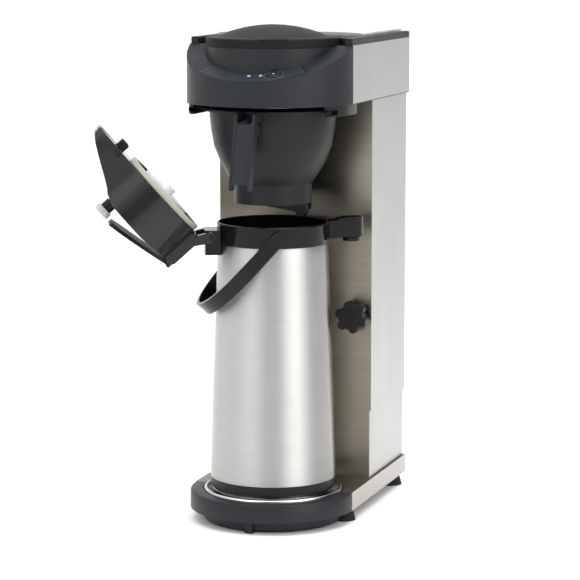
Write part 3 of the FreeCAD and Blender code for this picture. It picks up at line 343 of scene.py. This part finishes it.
CADMAT = {
    "base_housing": M_FOOT, "base_front_shell": M_CHAR, "base_bottom_plate": M_FOOT, "base_plinth": M_CHAR, "stand_ring": M_RUB, "rubber_feet": M_RUB,
    "foot_screws": M_ZINC, "drip_tray": M_POL, "vessel_platform": M_POL, "lower_column": M_FRONT_SHADED, "column_clips_and_bolts": M_ZINC,
    "column_sleeve": M_FRONT_SHADED, "rear_panel": M_SIDE, "rear_panel_screws": M_ZINC, "head_shell": M_SIDE, "front_housing": M_CHAR, "control_panel": M_PANEL,
    "indicator_lights": M_LENS, "power_switch": M_BLACK, "top_deck": M_LIDTOP, "top_plate": M_TOP, "top_trims": M_CHAR, "water_reservoir": M_MILK,
    "flow_heater": M_ALU, "riser_hose": M_HOSE, "feed_hose": M_HOSE, "control_board": M_PCB, "spray_head": M_POL, "basket_rails": M_BLACK,
    "cable_gland": M_BLACK, "clamp_nut_plate": M_ZINC, "clamp_knob": M_BLACK, "clamp_stud": M_ZINC, "power_button": M_CHAR, "reservoir_lid": M_LIDTOP,
    "filter_basket": M_BASK, "basket_handle": M_CHAR, "handle_screws": M_ZINC, "filter_grid": M_POL, "valve_spring": M_ZINC, "drip_stop_lever": M_BLACK,
    "drip_stop_valve": M_HOSE, "pot_base_cup": M_BLACK, "pot_shell": M_POT, "pot_liner": M_POL, "pot_collar": M_GLOSS, "lid_hinge_pin": M_BLACK,
    "spout_arm": M_GLOSS, "spout_nozzle": M_GLOSS, "dip_tube": M_MILK, "lid_shell": M_LIDPL, "lid_base_plate": M_GLOSS, "lid_seal_ring": M_SEAL,
    "lid_valve": M_WHITE, "pump_bellows": M_MILK, "beak_screw": M_BLACK, "lid_latch": M_GLOSS, "pump_lever": M_BLACK, "lock_knob": M_SILV, "bail_handle": M_GLOSS,
}
for n, o in N.items():
    give(o, CADMAT[n])
    me = o.data
    if "custom_normal" in me.attributes:
        me.attributes.remove(me.attributes["custom_normal"])
    me.polygons.foreach_set("use_smooth", [True] * len(me.polygons))
    w_ = o.modifiers.new("weld", "WELD")
    w_.merge_threshold = 4e-6
    e_ = o.modifiers.new("split", "EDGE_SPLIT")
    e_.split_angle = rad(32)
    e_.use_edge_sharp = False

# two finishes on the folded sleeve and inner column: the front is grained across and gets a darker, warmer steel as
# painted shade and reflection, the sides are plain
for n in ("column_sleeve", "lower_column"):
    o = N[n]
    o.data.materials.append(M_SIDE)
    lo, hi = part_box(n)
    for p in o.data.polygons:
        if abs(p.normal.x) > 0.7 or p.normal.y > 0.7:
            p.material_index = 1

# painted shade: the upward faces of the base housing take the darker top copy of the foot steel
o = N["base_housing"]
o.data.materials.append(M_BASE_TOP_SHADE)
for p in o.data.polygons:
    if p.normal.z > 0.7:
        p.material_index = 1

# the lock knob is black below and silver above, split by height over the lid's pin
YW, TH = rad(24.0), rad(131.8)
TD = Vector((-math.sin(TH) * math.cos(YW), -math.sin(TH) * math.sin(YW), math.cos(TH)))
PIN = Vector((-0.0755 * math.cos(YW), -0.0755 * math.sin(YW), 0.3483))
o = N["lock_knob"]
o.data.materials.append(M_BLACK)
for p in o.data.polygons:
    if (o.matrix_world @ p.center - PIN).dot(TD) < 0.0713:
        p.material_index = 1


# the housing's sloping band is a shade bluer and duller than its wall
o = N["front_housing"]
o.data.materials.append(M_BAND)
for p in o.data.polygons:
    if 0.80 < p.normal.z < 0.985 and p.normal.y < -0.2:
        p.material_index = 1

# shadowed faces of the finger notch in the tank lid
o = N["reservoir_lid"]
o.data.materials.append(M_BLACK)
for p in o.data.polygons:
    c = p.center
    a = math.degrees(math.atan2(c.x, -c.y))
    if abs(a - 19.7) < 11.9 and 0.0745 < math.hypot(c.x, c.y) < 0.0800 and 0.5805 < c.z < 0.5849 and abs(math.hypot(c.x, c.y) - 0.080) > 0.0004:
        p.material_index = 1


# ------------------------------------------------------------------ camera
cam_d = bpy.data.cameras.new("cam")
cam = bpy.data.objects.new("cam", cam_d)
scene.collection.objects.link(cam)
scene.camera = cam
cam_d.sensor_width = 36.0
cam_d.lens = 151.374
az, pitch = rad(18.573), rad(8.442)
cam.location = (0.9473397, -2.7551525, 0.7125)
cam.rotation_euler = (rad(90) - pitch, 0, az)
cam_d.clip_start, cam_d.clip_end = 0.05, 200

# ------------------------------------------------------------------ floor and light
me = bpy.data.meshes.new("floor")
bm = bmesh.new()
bmesh.ops.create_circle(bm, cap_ends=True, radius=60, segments=96)
bm.to_mesh(me); bm.free()
floor = bpy.data.objects.new("floor", me)
scene.collection.objects.link(floor)
fm, fnt, fb = mat("floor_paper", (0.90, 0.90, 0.90), 0.65)
fo = coords(fnt)
fnt.links.new(ramp(fnt, noise(fnt, fo, 3, 2), [(0.3, (0.935, 0.935, 0.935)), (0.7, (0.95, 0.95, 0.95))]), fb.inputs["Base Color"])
fb.inputs["Specular IOR Level"].default_value = 0.15
give(floor, fm)

w = bpy.data.worlds.new("studio")
scene.world = w
w.use_nodes = True
wn = w.node_tree
bg = wn.nodes["Background"]
tc = wn.nodes.new("ShaderNodeTexCoord")
sp = wn.nodes.new("ShaderNodeSeparateXYZ")
wn.links.new(tc.outputs["Generated"], sp.inputs[0])
at = wn.nodes.new("ShaderNodeMath"); at.operation = "ARCTAN2"
wn.links.new(sp.outputs[1], at.inputs[0]); wn.links.new(sp.outputs[0], at.inputs[1])
mr = wn.nodes.new("ShaderNodeMapRange")
mr.inputs["From Min"].default_value = -math.pi; mr.inputs["From Max"].default_value = math.pi
wn.links.new(at.outputs[0], mr.inputs[0])
BANDS = [(-180, .95), (-165, .92), (-135, .85), (-112, 1.1), (-97, 1.0), (-88, .25), (-84, .12), (-64, .12), (-57, .35), (-50, 1.1), (-42, 2.6), (-24, 3.3), (-16, 2.3), (-5, 1.0),
         (7, .30), (16, .0), (30, .0), (58, .0), (74, .45), (92, 1.0), (125, 1.05), (145, .7), (160, .75), (180, .95)]
band = ramp(wn, mr.outputs[0], [((a + 180) / 360, (v / 3.4,) * 3) for a, v in BANDS])
top = wn.nodes.new("ShaderNodeMapRange")
top.inputs["From Min"].default_value = 0.60; top.inputs["From Max"].default_value = 0.88
wn.links.new(sp.outputs[2], top.inputs[0])
mx = wn.nodes.new("ShaderNodeMix"); mx.data_type = "RGBA"
wn.links.new(top.outputs[0], mx.inputs["Factor"])
wn.links.new(band, mx.inputs[6]); mx.inputs[7].default_value = (0.52, 0.52, 0.52, 1)
wn.links.new(mx.outputs[2], bg.inputs["Color"])
bg.inputs["Strength"].default_value = 3.4


def area(name, loc, target, sx, sy, power):
    l = bpy.data.lights.new(name, "AREA")
    l.shape = "RECTANGLE"; l.size = sx; l.size_y = sy; l.energy = power
    o = bpy.data.objects.new(name, l)
    o.location = loc
    o.rotation_euler = (Vector(target) - Vector(loc)).to_track_quat("-Z", "Y").to_euler()
    scene.collection.objects.link(o)
    return o


area("key", (-1.5, -2.1, 1.9), (0, 0, 0.3), 1.6, 2.0, 9)
area("fill", (2.4, -0.6, 1.3), (0, 0.1, 0.3), 1.4, 2.0, 7)
area("overhead", (0, 0.1, 2.4), (0, 0, 0), 2.6, 2.6, 44)
scene.view_settings.view_transform = "Standard"
scene.view_settings.look = "None"
scene.view_settings.exposure = 0.0

exec_parts = None
# ------------------------------------------------------------------ small pieces
NB = Vector((0, -0.3904, 0.9207))


def band_pt(r, az, lift=0.0):
    a = rad(az)
    x, y = r * math.cos(a), r * math.sin(a)
    return Vector((x, y, 575.8 + (y + 6.5) * 0.424)) + NB * lift


def strip(name, az, w, m):
    a, b = band_pt(82.2, az, 0.5), band_pt(99.6, az, 0.5)
    d = (b - a).normalized()
    q = d.cross(NB).normalized() * (w / 2)
    V = [(v + l) * MM for l in (NB * -0.6, NB * 0.35) for v in (a - q, b - q, b + q, a + q)]
    F = [(0, 3, 2, 1), (4, 5, 6, 7), (0, 1, 5, 4), (1, 2, 6, 5), (2, 3, 7, 6), (3, 0, 4, 7)]
    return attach(give(mesh_obj(name, V, F, 30), m), "head")


strip("divider_left", -129.0, 0.6, M_LINE)
strip("divider_right", -47.2, 1.3, M_BLACK)

# oval ring round the power button and the dot on it
A = rad(19.6)
BTN = Vector((87 * math.sin(A), -87 * math.cos(A), 0))
BTN.z = 575.8 + (BTN.y + 6.5) * 0.424
U = Vector((math.cos(A), math.sin(A), 0))
U = (U - NB * U.dot(NB)).normalized()
W = NB.cross(U).normalized()


def ring(name, ru, rv, wd, lift, m, body):
    rings = []
    for k in range(96):
        t = 2 * math.pi * k / 96
        c = BTN + U * (ru * math.cos(t)) + W * (rv * math.sin(t)) + NB * lift
        n = (U * (math.cos(t) / ru) + W * (math.sin(t) / rv)).normalized()
        rings.append([c - n * wd - NB * 0.5, c + n * wd - NB * 0.5, c + n * wd * 0.7, c + NB * 0.12, c - n * wd * 0.7])
    V = [v * MM for r in rings for v in r]
    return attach(give(mesh_obj(name, V, grid_faces(96, 5, True, True), 50), m), body)


ring("button_ring", 11.6, 8.95, 0.35, 0.95, M_LINE, "head")
dot = loft("button_dot", [[BTN + U * (r * math.cos(2 * math.pi * k / 20)) + W * (r * math.sin(2 * math.pi * k / 20)) + NB * h for k in range(20)] for r, h in ((1.0, 1.6), (1.0, 2.35), (0.7, 2.45))], True, 35)
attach(give(dot, M_WHITE), "button")

# painted shadow: black strips in the seam under the steel sides of the head stand in for its shadow line
for sg, nm in ((1, "r"), (-1, "l")):
    x0, x1 = sorted((sg * 98.9, sg * 102.45))
    V = [(x * MM, y * MM, z * MM) for z in (506.7, 507.5) for x, y in ((x0, -5.5), (x1, -5.5), (x1, 233.0), (x0, 233.0))]
    F = [(0, 3, 2, 1), (4, 5, 6, 7), (0, 1, 5, 4), (1, 2, 6, 5), (2, 3, 7, 6), (3, 0, 4, 7)]
    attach(give(mesh_obj("seam_shadow_strip_" + nm, V, F, 30), M_BLACK), "head")
